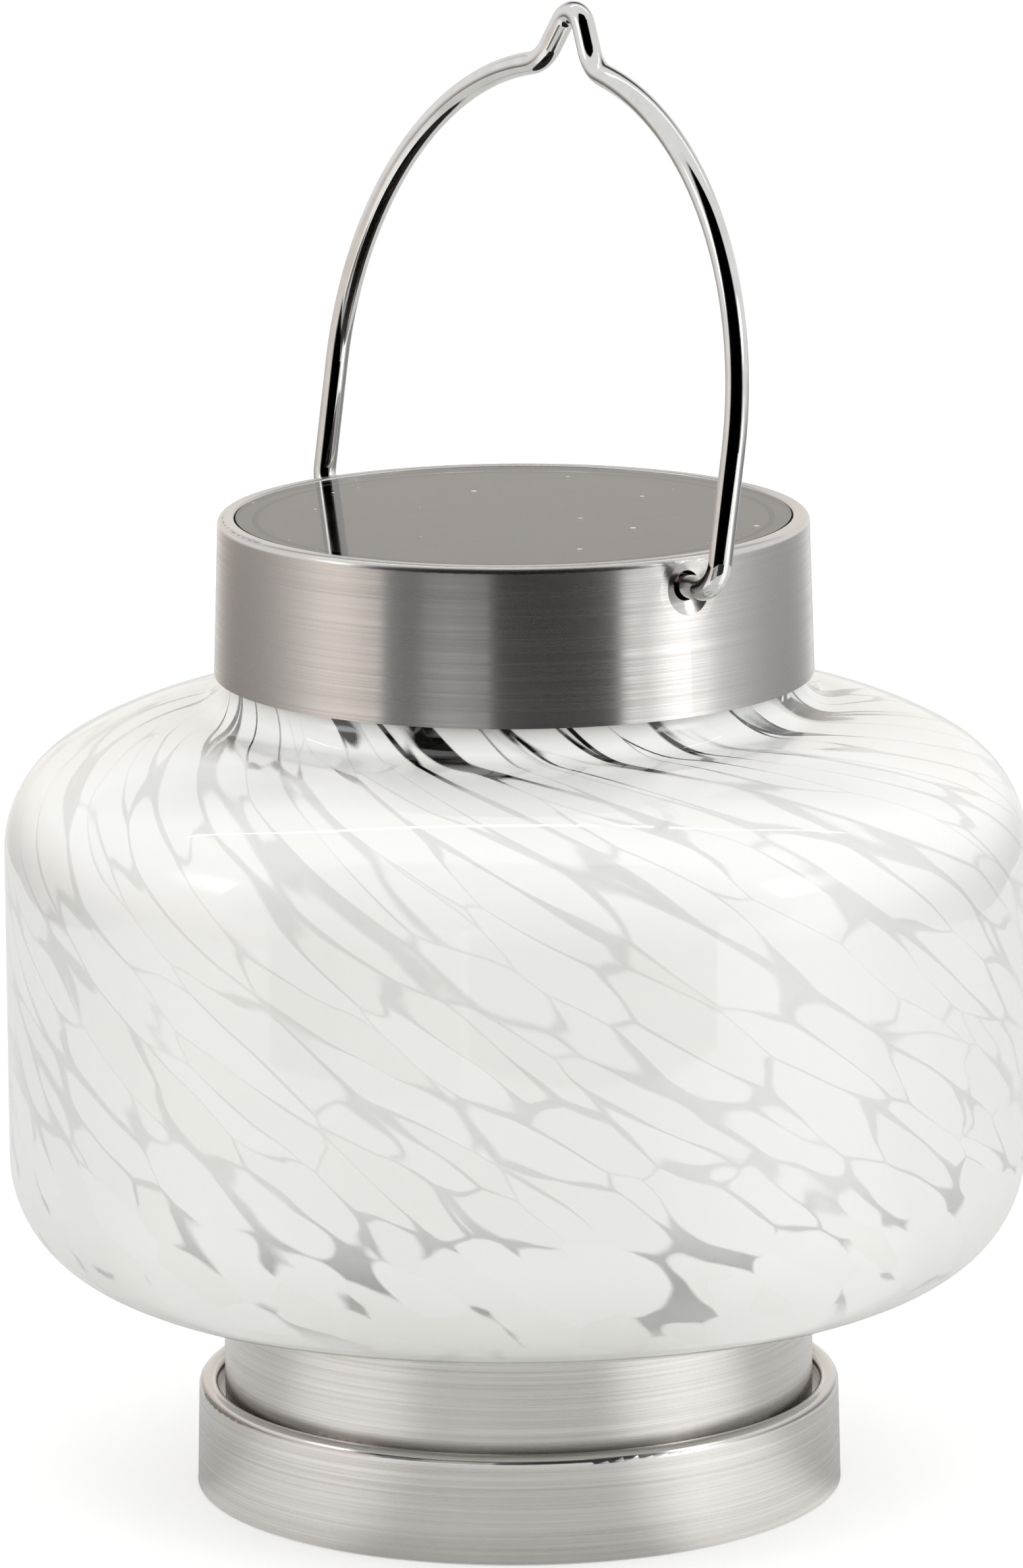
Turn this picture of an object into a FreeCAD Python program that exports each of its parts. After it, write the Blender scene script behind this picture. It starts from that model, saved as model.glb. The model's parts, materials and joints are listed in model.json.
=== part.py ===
import FreeCAD, Part
import math
import os

os.makedirs("parts", exist_ok=True)
V = FreeCAD.Vector

# A solar lantern: a blown glass bulb stands in a steel base, and a steel cap with a
# solar panel, a lamp and a wire bail screws onto a threaded ring round the neck of the glass.
# The frame has +Z up, the origin under the middle of the feet, and the bail's pivots along X.
# Lengths are in millimetres and angles in degrees.

# Fits
small_gap = 0.1
loose_gap = 0.3
screw_gap = 0.05

# Base of sheet steel
sheet = 0.7
foot_pad_radius = 4.0
foot_pad_thickness = 1.2
foot_pad_inset = 3.3
foot_pad_count = 4
foot_pad_first_angle = 45.0
drum_edge_lift = 0.2
drum_height = 14.8
drum_groove = 0.9
drum_flare = 0.32
drum_roll_radius = 1.35
deck_drop = 3.3
base_cover_thickness = 1.6
base_skirt_inset = 4.0
base_skirt_wall = 1.6
base_screw_circle = 20.0
base_screw_count = 3
base_screw_first_angle = 90.0
base_screw_radius = 2.0
base_screw_head_radius = 3.6
base_screw_head_height = 2.2
base_screw_end = 0.8
base_nut_flats = 7.0
base_nut_height = 3.2
base_nut_sides = 6
collar_radius = 40.7
collar_edge_rise = 0.6
seat_gasket_thickness = 2.0

# Glass shade
glass_radius = 70.0
glass_wall = 3.0
lower_neck_gap = 0.8
lower_neck_fillet = 1.5
wall_start_height = 32.8
wall_height = 42.7
lower_corner_radius = 16.3
lower_corner_turn = 76.4
lower_shoulder_radius = 64.6
upper_corner_radius = 15.4
upper_corner_turn = 59.5
upper_shoulder_radius = 46.0
neck_bead_gap = 1.0
neck_bead_fillet = 5.5
neck_bead_height = 2.0
neck_bead_edge = 0.8
neck_height = 9.8
neck_inner_fillet = 6.0

# Screw thread of the neck ring and the cap liner
neck_ring_wall = 1.0
liner_wall = 1.2
thread_lead = 4.0
thread_turns = 1.1
thread_rise = 1.0
thread_base_width = 1.8
thread_crest_width = 0.7
thread_start = 3.2
thread_offset = 1.6
thread_clearance = 0.4
liner_bore_gap = 0.6
thread_root_sink = 0.3

# Cap shell
cap_radius_top = 40.3
cap_flare = 0.7
cap_edge_drop = 0.7
cap_edge_radius = 1.0
cap_lip_width = 2.3
cap_lip_round = 0.45
dimple_edge = 0.3
dimple_depth = 1.0

# Bail of round wire
wire_diameter = 3.2
pivot_hole_gap = 0.45
foot_protrusion = 2.5
foot_floor_gap = 0.7
bail_leg_gap = 3.9
bail_cover_gap = 0.4
bail_foot_bend = 4.0
bail_leg_height = 18.9
bail_arch_radius = 46.6
bail_valley_radius = 5.8
bail_hook_radius = 2.8
bail_hook_height = 72.4
bail_hook_spread = 31.0
bail_lean = 8.4

# Solar panel and the housing under it
seal_thickness = 1.3
flange_thickness = 1.5
panel_gasket_thickness = 0.3
panel_gasket_width = 0.5
panel_cover_thickness = 1.0
panel_recess = 0.15
cells_thickness = 0.3
cell_count = 6
cell_spacing = 0.8
cells_margin = 1.0
panel_board_thickness = 1.6
upstand_wall = 0.8
upstand_gap = 0.6
housing_gap = 1.7
housing_wall = 1.6
housing_depth = 21.8
housing_floor = 2.4
liner_lift = 0.9

# Battery bay
cell_radius = 5.25
cell_length = 30.0
nub_radius = 1.9
nub_length = 1.0
bay_back_gap = 11.7
bay_side_gap = 0.75
bay_end_gap = 1.75
bay_wall = 1.2
bay_wall_height = 9.6
bay_rib_width = 8.0
contact_thickness = 0.5
contact_rise = 10.0
contact_boss_radius = 2.0
leaf_bow_radius = 4.0
door_pin_radius = 0.65
door_pin_length = 1.6
door_hole_gap = 0.1

# Lamp circuit
board_thickness = 1.4
board_lift = 4.6
board_post_inset = 5.4
board_post_angles = (10.0, 120.0, 160.0)
board_post_radius = 2.2
board_screw_radius = 1.0
board_screw_head_radius = 2.0
board_screw_head_height = 1.4
board_screw_depth = 3.4
lens_bay_gap = 2.0
lens_radius = 5.2
lens_flange_radius = 6.6
lens_flange_thickness = 1.0
lens_wall = 1.0
lens_reach = 1.4
lens_crown = 2.0
led_radius = 2.5
led_rim_radius = 2.9
led_rim_height = 1.0
led_length = 5.4
switch_x = 15.5
switch_length = 8.6
switch_width = 4.4
switch_height = 3.6
switch_travel = 2.0
button_length = 2.0
button_width = 2.6
button_reach = 0.8
button_grip = 1.8
lead_radius = 0.6
lead_arc_share = 0.45
panel_lead_places = ((-8.0, 6.0), (-2.0, 10.0))
panel_lead_step = 6.0
panel_lead_end_run = 5.0
battery_lead_rise = 3.0
battery_lead_inset = 6.0
battery_lead_edge = 3.0

# Heights, from the floor up
drum_bottom = drum_edge_lift
drum_top = drum_bottom + drum_height
deck_top = drum_top - deck_drop
deck_bottom = deck_top - sheet
collar_floor_top = deck_top + sheet
glass_bottom = collar_floor_top + seat_gasket_thickness
wall_low = glass_bottom + wall_start_height
wall_high = wall_low + wall_height

# Radii that follow from the fits
collar_inner = collar_radius - sheet
lower_neck_radius = collar_inner - lower_neck_gap
lower_neck_inner = lower_neck_radius - glass_wall
drum_radius_top = collar_radius + drum_groove + 2.0 * drum_roll_radius
drum_radius_bottom = drum_radius_top + drum_flare
cover_radius = drum_radius_top - sheet - loose_gap
foot_pad_circle = cover_radius - foot_pad_inset - foot_pad_radius
cap_radius_bottom = cap_radius_top + cap_flare
liner_bore = cap_radius_top - sheet - small_gap - liner_wall
thread_root = liner_bore - liner_bore_gap - thread_rise
neck_bead_radius = cap_radius_bottom - sheet - neck_bead_gap
neck_radius = thread_root - neck_ring_wall - small_gap
neck_inner = neck_radius - glass_wall
housing_radius = neck_inner - housing_gap
housing_inner = housing_radius - housing_wall


same_point = 1e-6


def profile_face(steps):
    """Closed face in the XZ plane: a step is a point (r, z) or an arc (r, z, radius, start, end)."""
    edges = []
    first = None
    last = None
    for step in steps:
        if len(step) == 2:
            start = V(step[0], 0, step[1])
            end = start
            edge = None
        else:
            centre_r, centre_z, radius, angle_a, angle_b = step
            angles = [math.radians(a) for a in (angle_a, (angle_a + angle_b) / 2.0, angle_b)]
            points = [V(centre_r + radius * math.cos(a), 0, centre_z + radius * math.sin(a)) for a in angles]
            start = points[0]
            end = points[2]
            edge = Part.Arc(*points).toShape()
        if last is not None and (start - last).Length > same_point:
            edges.append(Part.makeLine(last, start))
        if edge is not None:
            edges.append(edge)
        if first is None:
            first = start
        last = end
    if (first - last).Length > same_point:
        edges.append(Part.makeLine(last, first))
    return Part.Face(Part.Wire(edges))


def turned(steps):
    """Solid of revolution about Z."""
    return profile_face(steps).revolve(V(0, 0, 0), V(0, 0, 1), 360)


def ring(inner, outer, low, high):
    return turned([(inner, low), (outer, low), (outer, high), (inner, high)])


def disc(radius, low, high, x=0.0, y=0.0):
    return Part.makeCylinder(radius, high - low, V(x, y, low))


def rod_x(radius, x_from, x_to, y, z):
    return Part.makeCylinder(radius, x_to - x_from, V(x_from, y, z), V(1, 0, 0))


def block(x_from, x_to, y_from, y_to, low, high):
    return Part.makeBox(x_to - x_from, y_to - y_from, high - low, V(x_from, y_from, low))


def polar(radius, angle):
    return radius * math.cos(math.radians(angle)), radius * math.sin(math.radians(angle))


def even_angles(count, first=0.0):
    return [first + 360.0 * i / count for i in range(count)]


def tangent_fillet(shoulder_r, shoulder_z, shoulder_radius, side, fillet, up):
    """Centre of a hollow fillet between a shoulder arc and a wall at radius side, and their joint's angle."""
    centre_r = side + fillet
    reach = shoulder_radius + fillet
    centre_z = shoulder_z + up * math.sqrt(reach ** 2 - (centre_r - shoulder_r) ** 2)
    angle = math.degrees(math.atan2(centre_z - shoulder_z, centre_r - shoulder_r))
    return centre_r, centre_z, angle


def shoulder_centre(corner_z, corner_radius, turn, shoulder_radius, up):
    """Centre of the wide shoulder arc that carries on from the corner arc."""
    reach = shoulder_radius - corner_radius
    r = glass_radius - corner_radius - reach * math.cos(math.radians(turn))
    z = corner_z - up * reach * math.sin(math.radians(turn))
    return r, z


# Glass outline: corner arcs and wide shoulders above and below the straight wall
low_r, low_z = shoulder_centre(wall_low, lower_corner_radius, lower_corner_turn, lower_shoulder_radius, -1)
high_r, high_z = shoulder_centre(wall_high, upper_corner_radius, upper_corner_turn, upper_shoulder_radius, 1)
foot_r, foot_z, foot_angle = tangent_fillet(
    low_r, low_z, lower_shoulder_radius, lower_neck_radius, lower_neck_fillet, -1)
bead_r, bead_z, bead_angle = tangent_fillet(
    high_r, high_z, upper_shoulder_radius, neck_bead_radius, neck_bead_fillet, 1)
foot_in_r, foot_in_z, foot_in_angle = tangent_fillet(
    low_r, low_z, lower_shoulder_radius - glass_wall, lower_neck_inner, lower_neck_fillet + glass_wall, -1)
bead_in_r, bead_in_z, bead_in_angle = tangent_fillet(
    high_r, high_z, upper_shoulder_radius - glass_wall, neck_inner, neck_inner_fillet, 1)

# Heights of the neck, the seal and the cap
bead_top = bead_z + neck_bead_height
neck_top = bead_top + neck_height
flange_bottom = neck_top + seal_thickness
flange_top = flange_bottom + flange_thickness
pivot_z = flange_top + foot_floor_gap + wire_diameter / 2.0
cover_low = pivot_z + wire_diameter / 2.0 + bail_cover_gap
gasket_low = cover_low + panel_cover_thickness
cap_top = gasket_low + panel_gasket_thickness + sheet
cap_bottom = bead_z - cap_edge_drop
collar_top = foot_z + collar_edge_rise
cells_low = cover_low - small_gap - cells_thickness
board_ledge = cells_low - panel_board_thickness
housing_bottom = flange_bottom - housing_depth
floor_top = housing_bottom + housing_floor
board_low = floor_top + board_lift
board_top = board_low + board_thickness


def cap_radius_at(z):
    """Outer radius of the slightly flared cap wall."""
    share = (z - cap_bottom) / (cap_top - cap_bottom)
    return cap_radius_bottom + (cap_radius_top - cap_radius_bottom) * share


# Where the dimples and the bail's feet reach inside the cap
dimple_wall = cap_radius_at(pivot_z)
dimple_radius = cap_top - pivot_z - dimple_edge
dimple_ball = (dimple_radius ** 2 + dimple_depth ** 2) / (2.0 * dimple_depth)
dimple_inner = dimple_wall - dimple_depth - sheet
foot_end = dimple_inner - foot_protrusion
inner_limit = dimple_inner - loose_gap
upstand_outer = foot_end - upstand_gap
upstand_inner = upstand_outer - upstand_wall
panel_board_radius = upstand_inner - loose_gap
cells_radius = panel_board_radius - cells_margin


def thread_rib(root, crest, low):
    """Helical rib from a root radius to a crest radius, sunk a little into the wall behind the root."""
    sign = 1.0 if crest > root else -1.0
    helix = Part.makeHelix(thread_lead, thread_lead * thread_turns, root)
    helix.translate(V(0, 0, low))
    slope = (thread_base_width - thread_crest_width) / abs(crest - root)
    sunk_half = (thread_base_width + slope * thread_root_sink) / 2.0
    crest_half = thread_crest_width / 2.0
    back = root - sign * thread_root_sink
    points = [V(back, 0, low - sunk_half), V(crest, 0, low - crest_half),
              V(crest, 0, low + crest_half), V(back, 0, low + sunk_half)]
    section = Part.makePolygon(points + points[:1])
    return Part.Wire(helix.Edges).makePipeShell([section], True, True)


def glass_shade():
    low_turn = -lower_corner_turn
    inner_low = lower_corner_radius - glass_wall
    inner_high = upper_corner_radius - glass_wall
    outer = [
        (lower_neck_radius, glass_bottom),
        (foot_r, foot_z, lower_neck_fillet, 180.0, 180.0 + foot_angle),
        (low_r, low_z, lower_shoulder_radius, foot_angle, low_turn),
        (glass_radius - lower_corner_radius, wall_low, lower_corner_radius, low_turn, 0.0),
        (glass_radius - upper_corner_radius, wall_high, upper_corner_radius, 0.0, upper_corner_turn),
        (high_r, high_z, upper_shoulder_radius, upper_corner_turn, bead_angle),
        (bead_r, bead_z, neck_bead_fillet, 180.0 + bead_angle, 180.0),
        (neck_bead_radius - neck_bead_edge, bead_top - neck_bead_edge, neck_bead_edge, 0.0, 90.0),
        (neck_radius, bead_top),
        (neck_radius, neck_top),
    ]
    inner = [
        (neck_inner, neck_top),
        (bead_in_r, bead_in_z, neck_inner_fillet, 180.0, 180.0 + bead_in_angle),
        (high_r, high_z, upper_shoulder_radius - glass_wall, bead_in_angle, upper_corner_turn),
        (glass_radius - upper_corner_radius, wall_high, inner_high, upper_corner_turn, 0.0),
        (glass_radius - lower_corner_radius, wall_low, inner_low, 0.0, low_turn),
        (low_r, low_z, lower_shoulder_radius - glass_wall, low_turn, foot_in_angle),
        (foot_in_r, foot_in_z, lower_neck_fillet + glass_wall, 180.0 + foot_in_angle, 180.0),
        (lower_neck_inner, glass_bottom),
    ]
    return turned(outer + inner)


def neck_ring():
    """Threaded ring that is glued round the plain neck of the glass."""
    body = ring(thread_root - neck_ring_wall, thread_root, bead_top, neck_top)
    rib = thread_rib(thread_root, thread_root + thread_rise, bead_top + thread_start)
    return body.fuse(rib).removeSplitter()


def cap_envelope():
    """Full body of the cap, without its hollow."""
    top_r = cap_radius_at(cap_top - cap_edge_radius)
    return turned([
        (0.0, cap_bottom),
        (cap_radius_bottom, cap_bottom),
        (top_r - cap_edge_radius, cap_top - cap_edge_radius, cap_edge_radius, 0.0, 90.0),
        (0.0, cap_top),
    ])


def pressed_ball(grow):
    """Pair of balls that press the dimples, or their back faces when grown by the sheet."""
    reach = dimple_wall - dimple_depth + dimple_ball
    balls = [Part.makeSphere(dimple_ball + grow, V(side * reach, 0, pivot_z)) for side in (1, -1)]
    return Part.makeCompound(balls)


def cap_shell():
    body = cap_envelope()
    lip_inner = cap_radius_top - cap_lip_width
    inner_top = cap_radius_at(cap_top - sheet) - sheet
    hollow = turned([
        (0.0, cap_bottom),
        (cap_radius_bottom - sheet, cap_bottom),
        (inner_top, cap_top - sheet),
        (0.0, cap_top - sheet),
    ])
    window = turned([
        (0.0, cap_top - 2.0 * sheet),
        (lip_inner, cap_top - 2.0 * sheet),
        (lip_inner + cap_lip_round, cap_top - cap_lip_round, cap_lip_round, 180.0, 90.0),
        (lip_inner + cap_lip_round, cap_top + sheet),
        (0.0, cap_top + sheet),
    ])
    shell = body.cut(hollow).cut(window)
    pressed = [body.common(ball) for ball in pressed_ball(sheet).Solids]
    above_lip = disc(cap_radius_bottom, cap_top - sheet, cap_top + sheet)
    for piece in pressed:
        shell = shell.fuse(piece.cut(above_lip))
    shell = shell.cut(pressed_ball(0.0))
    hole = rod_x(wire_diameter / 2.0 + pivot_hole_gap, -cap_radius_bottom, cap_radius_bottom, 0.0, pivot_z)
    return shell.cut(hole).removeSplitter()


def panel_gasket():
    return ring(inner_limit - panel_gasket_width, inner_limit, gasket_low, cap_top - sheet)


def panel_cover():
    """Clear disc, held under the lip, with a raised middle that fills the window nearly flush."""
    window = min(cap_radius_top - cap_lip_width, inner_limit - panel_gasket_width) - small_gap
    raised = disc(window, gasket_low, cap_top - panel_recess)
    return disc(inner_limit, cover_low, gasket_low).fuse(raised).removeSplitter()


def solar_cells():
    pitch = 2.0 * cells_radius / cell_count
    round_sheet = disc(cells_radius, cells_low, cells_low + cells_thickness)
    strips = []
    for i in range(cell_count):
        left = -cells_radius + i * pitch + cell_spacing / 2.0
        strip = block(left, left + pitch - cell_spacing, -cells_radius, cells_radius,
                      cells_low, cells_low + cells_thickness)
        strips.append(round_sheet.common(strip).Solids[0])
    return Part.makeCompound(strips)


# Battery bay: the cell lies along X behind the lamp, over a door in the floor
bay_half_length = cell_length / 2.0 + bay_end_gap
bay_half_width = cell_radius + bay_side_gap
bay_y = bay_back_gap + bay_wall + bay_half_width - housing_inner
bay_front = bay_y + bay_half_width
bay_back = bay_y - bay_half_width
cell_z = floor_top + loose_gap + cell_radius
door_nose = housing_floor / 2.0
hinge_y = bay_front - loose_gap - door_nose
hinge_z = housing_bottom + door_nose
contact_out = bay_half_length - small_gap
contact_in = contact_out - contact_thickness
contact_face = cell_length / 2.0 + small_gap
contact_low = cell_z - contact_rise / 2.0
contact_high = cell_z + contact_rise / 2.0
board_edge_y = bay_front + bay_wall + loose_gap
board_radius = housing_inner - loose_gap
board_post_circle = housing_inner - board_post_inset
lens_y = bay_front + bay_wall + lens_bay_gap + lens_flange_radius
switch_y = lens_y


def post_places():
    return [polar(board_post_circle, angle) for angle in board_post_angles]


def lamp_housing():
    body = turned([
        (0.0, housing_bottom),
        (housing_radius, housing_bottom),
        (housing_radius, flange_bottom),
        (inner_limit, flange_bottom),
        (inner_limit, flange_top),
        (upstand_outer, flange_top),
        (upstand_outer, cover_low),
        (upstand_inner, cover_low),
        (upstand_inner, board_ledge),
        (housing_inner, board_ledge),
        (housing_inner, floor_top),
        (0.0, floor_top),
    ])
    wall_top = floor_top + bay_wall_height
    for wall_y in (bay_front, bay_back - bay_wall):
        wall = block(-bay_half_length, bay_half_length, wall_y, wall_y + bay_wall, floor_top, wall_top)
        body = body.fuse(wall)
    for side in (1, -1):
        near = side * bay_half_length
        far = side * (bay_half_length + bay_wall)
        body = body.fuse(block(min(near, far), max(near, far), bay_y - bay_rib_width / 2.0,
                               bay_y + bay_rib_width / 2.0, floor_top, contact_high))
    for x, y in post_places():
        post = disc(board_post_radius, floor_top, board_low, x, y)
        hole_low = board_low - board_screw_depth - loose_gap
        hole = disc(board_screw_radius + screw_gap, hole_low, board_low, x, y)
        body = body.fuse(post).cut(hole)
    body = body.cut(block(-bay_half_length, bay_half_length, bay_back, bay_front, housing_bottom, floor_top))
    pin_reach = bay_half_length + door_pin_length
    body = body.cut(rod_x(door_pin_radius + door_hole_gap, -pin_reach, pin_reach, hinge_y, hinge_z))
    body = body.cut(disc(lens_radius + loose_gap, housing_bottom, floor_top, 0.0, lens_y))
    slot_half_x = (button_length + switch_travel) / 2.0 + loose_gap
    slot_half_y = button_width / 2.0 + loose_gap
    body = body.cut(block(switch_x - slot_half_x, switch_x + slot_half_x, switch_y - slot_half_y,
                          switch_y + slot_half_y, housing_bottom, floor_top))
    return body.removeSplitter()


def cap_liner():
    """Threaded ring glued into the cap wall under the housing's flange."""
    low = bead_top + liner_lift
    body = turned([
        (liner_bore, low),
        (cap_radius_at(low) - sheet - small_gap, low),
        (cap_radius_at(flange_bottom) - sheet - small_gap, flange_bottom),
        (liner_bore, flange_bottom),
    ])
    for ball in pressed_ball(sheet + small_gap).Solids:
        body = body.cut(ball)
    rib = thread_rib(liner_bore, thread_root + thread_clearance, bead_top + thread_start - thread_offset)
    return body.fuse(rib).removeSplitter()


def lid_seal():
    return ring(neck_inner, thread_root, neck_top, flange_bottom)


def circuit_board():
    board = disc(board_radius, board_low, board_top)
    board = board.cut(block(-board_radius, board_radius, -board_radius, board_edge_y, board_low, board_top))
    for x, y in post_places():
        board = board.cut(disc(board_screw_radius + small_gap, board_low, board_top, x, y))
    return board


def board_screws():
    screws = []
    for x, y in post_places():
        shank = disc(board_screw_radius, board_low - board_screw_depth, board_top, x, y)
        head = disc(board_screw_head_radius, board_top, board_top + board_screw_head_height, x, y)
        screws.append(shank.fuse(head).removeSplitter())
    return Part.makeCompound(screws)


def led_lamp():
    tip = board_low - led_rim_height - led_length
    lamp = turned([
        (0.0, board_low),
        (led_rim_radius, board_low),
        (led_rim_radius, board_low - led_rim_height),
        (led_radius, board_low - led_rim_height),
        (0.0, tip + led_radius, led_radius, 0.0, -90.0),
    ])
    lamp.translate(V(0, lens_y, 0))
    return lamp


def led_lens():
    """Thin frosted dome through the floor, with a flange that rests on the floor."""
    rim = housing_bottom - lens_reach
    inner = lens_radius - lens_wall
    dome = (lens_radius ** 2 + lens_crown ** 2) / (2.0 * lens_crown)
    centre = rim - lens_crown + dome
    inner_dome = dome - lens_wall
    turn = math.degrees(math.asin(lens_radius / dome))
    inner_turn = math.degrees(math.asin(inner / inner_dome))
    lens = turned([
        (inner, floor_top + lens_flange_thickness),
        (lens_flange_radius, floor_top + lens_flange_thickness),
        (lens_flange_radius, floor_top),
        (lens_radius, floor_top),
        (0.0, centre, dome, turn - 90.0, -90.0),
        (0.0, centre, inner_dome, -90.0, inner_turn - 90.0),
    ])
    lens.translate(V(0, lens_y, 0))
    return lens


# Slide switch: at rest the button stands at the low end of its slot
button_left = switch_x - (button_length + switch_travel) / 2.0
switch_low = board_low - switch_height


def switch_body():
    body = block(switch_x - switch_length / 2.0, switch_x + switch_length / 2.0,
                 switch_y - switch_width / 2.0, switch_y + switch_width / 2.0, switch_low, board_low)
    slot = block(button_left - loose_gap, button_left + button_length + switch_travel + loose_gap,
                 switch_y - button_width / 2.0 - loose_gap, switch_y + button_width / 2.0 + loose_gap,
                 switch_low, switch_low + button_grip + loose_gap)
    return body.cut(slot)


def switch_button():
    return block(button_left, button_left + button_length, switch_y - button_width / 2.0,
                 switch_y + button_width / 2.0, housing_bottom - button_reach, switch_low + button_grip)


def battery_cell():
    half = cell_length / 2.0
    can = rod_x(cell_radius, -half + nub_length, half, bay_y, cell_z)
    nub = rod_x(nub_radius, -half, -half + nub_length, bay_y, cell_z)
    return can.fuse(nub).removeSplitter()


def battery_tab():
    """Plate with a pressed boss that meets the nub of the cell."""
    half = bay_rib_width / 2.0
    plate = block(-contact_out, -contact_in, bay_y - half, bay_y + half, contact_low, contact_high)
    boss = rod_x(contact_boss_radius, -contact_in, -contact_face, bay_y, cell_z)
    return plate.fuse(boss).removeSplitter()


def battery_leaf():
    """Plate with a bowed tongue that presses on the flat end of the cell."""
    half = bay_rib_width / 2.0
    plate = block(contact_in, contact_out, bay_y - half, bay_y + half, contact_low, contact_high)
    bow_centre = contact_face + leaf_bow_radius
    bow = Part.makeCylinder(leaf_bow_radius, bay_rib_width, V(bow_centre, bay_y - half, cell_z), V(0, 1, 0))
    hollow = Part.makeCylinder(leaf_bow_radius - contact_thickness, bay_rib_width,
                               V(bow_centre, bay_y - half, cell_z), V(0, 1, 0))
    front = block(contact_face - leaf_bow_radius, contact_in + small_gap, bay_y - half, bay_y + half,
                  contact_low, contact_high)
    return plate.fuse(bow.cut(hollow).common(front)).removeSplitter()


def battery_door():
    half = bay_half_length - loose_gap
    plate = block(-half, half, bay_back + loose_gap, hinge_y, housing_bottom, floor_top)
    nose = rod_x(door_nose, -half, half, hinge_y, hinge_z)
    pin_end = bay_half_length + door_pin_length - loose_gap
    pins = rod_x(door_pin_radius, -pin_end, pin_end, hinge_y, hinge_z)
    return plate.fuse(nose).fuse(pins).removeSplitter()


def lead(points):
    """Round lead along straight runs joined by the largest arcs that the runs allow."""
    corners = [V(*p) for p in points]
    edges = []
    last = corners[0]
    for before, here, after in zip(corners, corners[1:], corners[2:]):
        back = (before - here).normalize()
        ahead = (after - here).normalize()
        trim = lead_arc_share * min((before - here).Length, (after - here).Length)
        enter = here + back * trim
        leave = here + ahead * trim
        half_turn = (math.pi - back.getAngle(ahead)) / 2.0
        radius = trim / math.tan(half_turn)
        inward = (back + ahead).normalize()
        middle = here + inward * (radius / math.cos(half_turn) - radius)
        edges.append(Part.makeLine(last, enter))
        edges.append(Part.Arc(enter, middle, leave).toShape())
        last = leave
    edges.append(Part.makeLine(last, corners[-1]))
    circle = Part.makeCircle(lead_radius, corners[0], (corners[1] - corners[0]).normalize())
    return Part.Wire(edges).makePipeShell([Part.Wire(circle)], True, False)


def panel_lead(x, y):
    """Lead from the underside of the panel board to the top of the circuit board."""
    low_x = x - panel_lead_step
    low_y = y + panel_lead_step
    return lead([(x, y, board_ledge), (x, y, board_ledge - panel_lead_end_run),
                 (low_x, low_y, board_top + panel_lead_end_run), (low_x, low_y, board_top)])


def battery_lead(side):
    """Lead from the top of a battery contact over the bay wall to the circuit board."""
    x = side * (contact_in + contact_out) / 2.0
    y = bay_y + bay_rib_width / 4.0
    board_x = side * (bay_half_length - battery_lead_inset)
    board_y = board_edge_y + battery_lead_edge
    bridge = contact_high + battery_lead_rise
    return lead([(x, y, contact_high), (x, y, bridge),
                 (board_x, board_y, bridge), (board_x, board_y, board_top)])


def bail_handle():
    """Wire bail: foot, leg, arch, valley and hook on one side, and the same mirrored."""
    wire = wire_diameter / 2.0
    leg = cap_radius_bottom + bail_leg_gap + wire
    arch_w = leg - bail_arch_radius
    arch_h = bail_leg_height
    hook_h = bail_hook_height - bail_hook_radius
    spread = math.radians(bail_hook_spread)
    normal = V(math.cos(spread), 0, math.sin(spread))
    slide = V(math.sin(spread), 0, -math.cos(spread))
    hook_side = V(0, 0, hook_h) + normal * bail_hook_radius
    # The valley arc touches the hook's straight flank and the arch from above
    start = hook_side + normal * bail_valley_radius - V(arch_w, 0, arch_h)
    reach = bail_arch_radius + bail_valley_radius
    along = start.dot(slide)
    run = -along - math.sqrt(along ** 2 - start.dot(start) + reach ** 2)
    valley = V(arch_w, 0, arch_h) + start + slide * run
    flank_end = hook_side + slide * run
    to_arch = (V(arch_w, 0, arch_h) - valley).normalize()
    arch_end = valley + to_arch * bail_valley_radius
    to_flank = (flank_end - valley).normalize()
    valley_mid = valley + (to_arch + to_flank).normalize() * bail_valley_radius
    arch_angle = math.atan2(arch_end.z - arch_h, arch_end.x - arch_w)
    arch_mid = V(arch_w + bail_arch_radius * math.cos(arch_angle / 2.0), 0,
                 arch_h + bail_arch_radius * math.sin(arch_angle / 2.0))
    bend = bail_foot_bend
    bend_rise = bend - bend * math.sqrt(0.5)
    bend_mid = V(leg - bend_rise, 0, bend_rise)
    half = [
        ("line", V(foot_end, 0, 0), V(leg - bend, 0, 0)),
        ("arc", V(leg - bend, 0, 0), bend_mid, V(leg, 0, bend)),
        ("line", V(leg, 0, bend), V(leg, 0, arch_h)),
        ("arc", V(leg, 0, arch_h), arch_mid, arch_end),
        ("arc", arch_end, valley_mid, flank_end),
        ("line", flank_end, hook_side),
    ]
    hook = ("arc", hook_side, V(0, 0, bail_hook_height), V(-hook_side.x, 0, hook_side.z))
    mirrored = []
    for step in reversed(half):
        mirrored.append((step[0],) + tuple(V(-p.x, 0, p.z) for p in reversed(step[1:])))
    edges = []
    for step in half + [hook] + mirrored:
        if step[0] == "line":
            edges.append(Part.makeLine(step[1], step[2]))
        else:
            edges.append(Part.Arc(*step[1:]).toShape())
    circle = Part.makeCircle(wire, V(foot_end, 0, 0), V(1, 0, 0))
    bail = Part.Wire(edges).makePipeShell([Part.Wire(circle)], True, False)
    bail.rotate(V(0, 0, 0), V(1, 0, 0), -bail_lean)
    bail.translate(V(0, 0, pivot_z))
    return bail


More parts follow.
